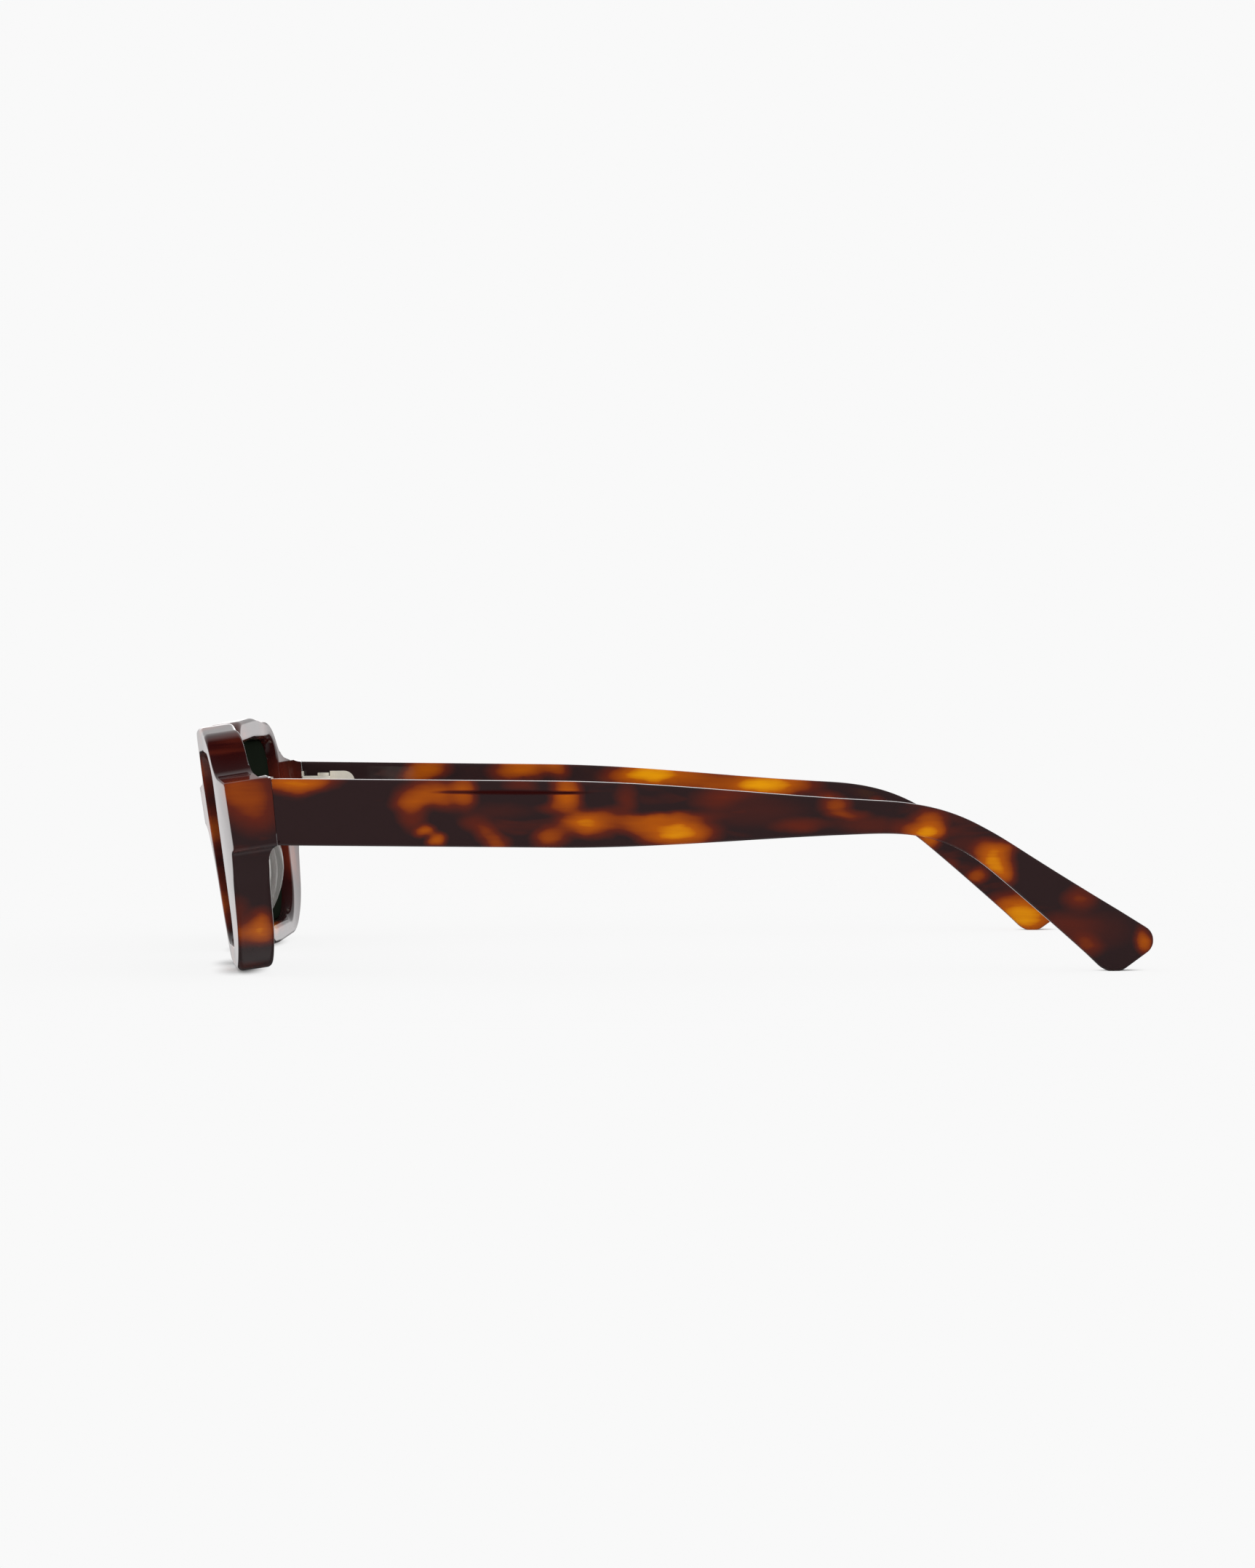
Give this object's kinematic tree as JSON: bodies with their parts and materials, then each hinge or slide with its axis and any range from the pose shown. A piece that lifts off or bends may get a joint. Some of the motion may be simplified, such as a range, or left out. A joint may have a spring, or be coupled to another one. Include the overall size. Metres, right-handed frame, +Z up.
{
  "type": "sunglasses",
  "caption": "Folding sunglasses with a thick rectangular tortoiseshell acetate front, dark curved lenses, glued nose pads and straight broad temples on barrel hinges.",
  "frame": {"origin": "middle of the footprint with the temples open, on the surface that the glasses stand on", "axes": "+X to the wearer's left, -Y where the wearer looks, +Y towards the temple tips, +Z up"},
  "size_m": [0.1386, 0.1578, 0.0409],
  "materials": {
    "acetate": "polished tortoiseshell acetate, dark brown with amber patches",
    "lens": "very dark green tint, polished",
    "pad": "clear smoky acetate, polished",
    "hinge": "pale champagne plating, satin",
    "steel": "plain"
  },
  "bodies": {
    "front": {"frame_front": "acetate", "lens_left": "lens", "lens_right": "lens", "nose_pad_left": "pad", "nose_pad_right": "pad", "hinge_front_leaf_left": "hinge", "hinge_front_leaf_right": "hinge", "hinge_screw_left": "steel", "hinge_screw_right": "steel"},
    "temple_left": {"temple_left": "acetate", "core_wire_left": "steel", "hinge_temple_leaf_left": "hinge"},
    "temple_right": {"temple_right": "acetate", "core_wire_right": "steel", "hinge_temple_leaf_right": "hinge"}
  },
  "joints": [
    {"name": "fold_left", "type": "hinge", "parent": "front", "child": "temple_left", "pos_m": [0.0623, -0.05947, 0.027], "axis": [0, 0, 1], "range_deg": [0, 90]},
    {"name": "fold_right", "type": "hinge", "parent": "front", "child": "temple_right", "pos_m": [-0.0623, -0.05947, 0.027], "axis": [0, 0, -1], "range_deg": [0, 84]}
  ]
}
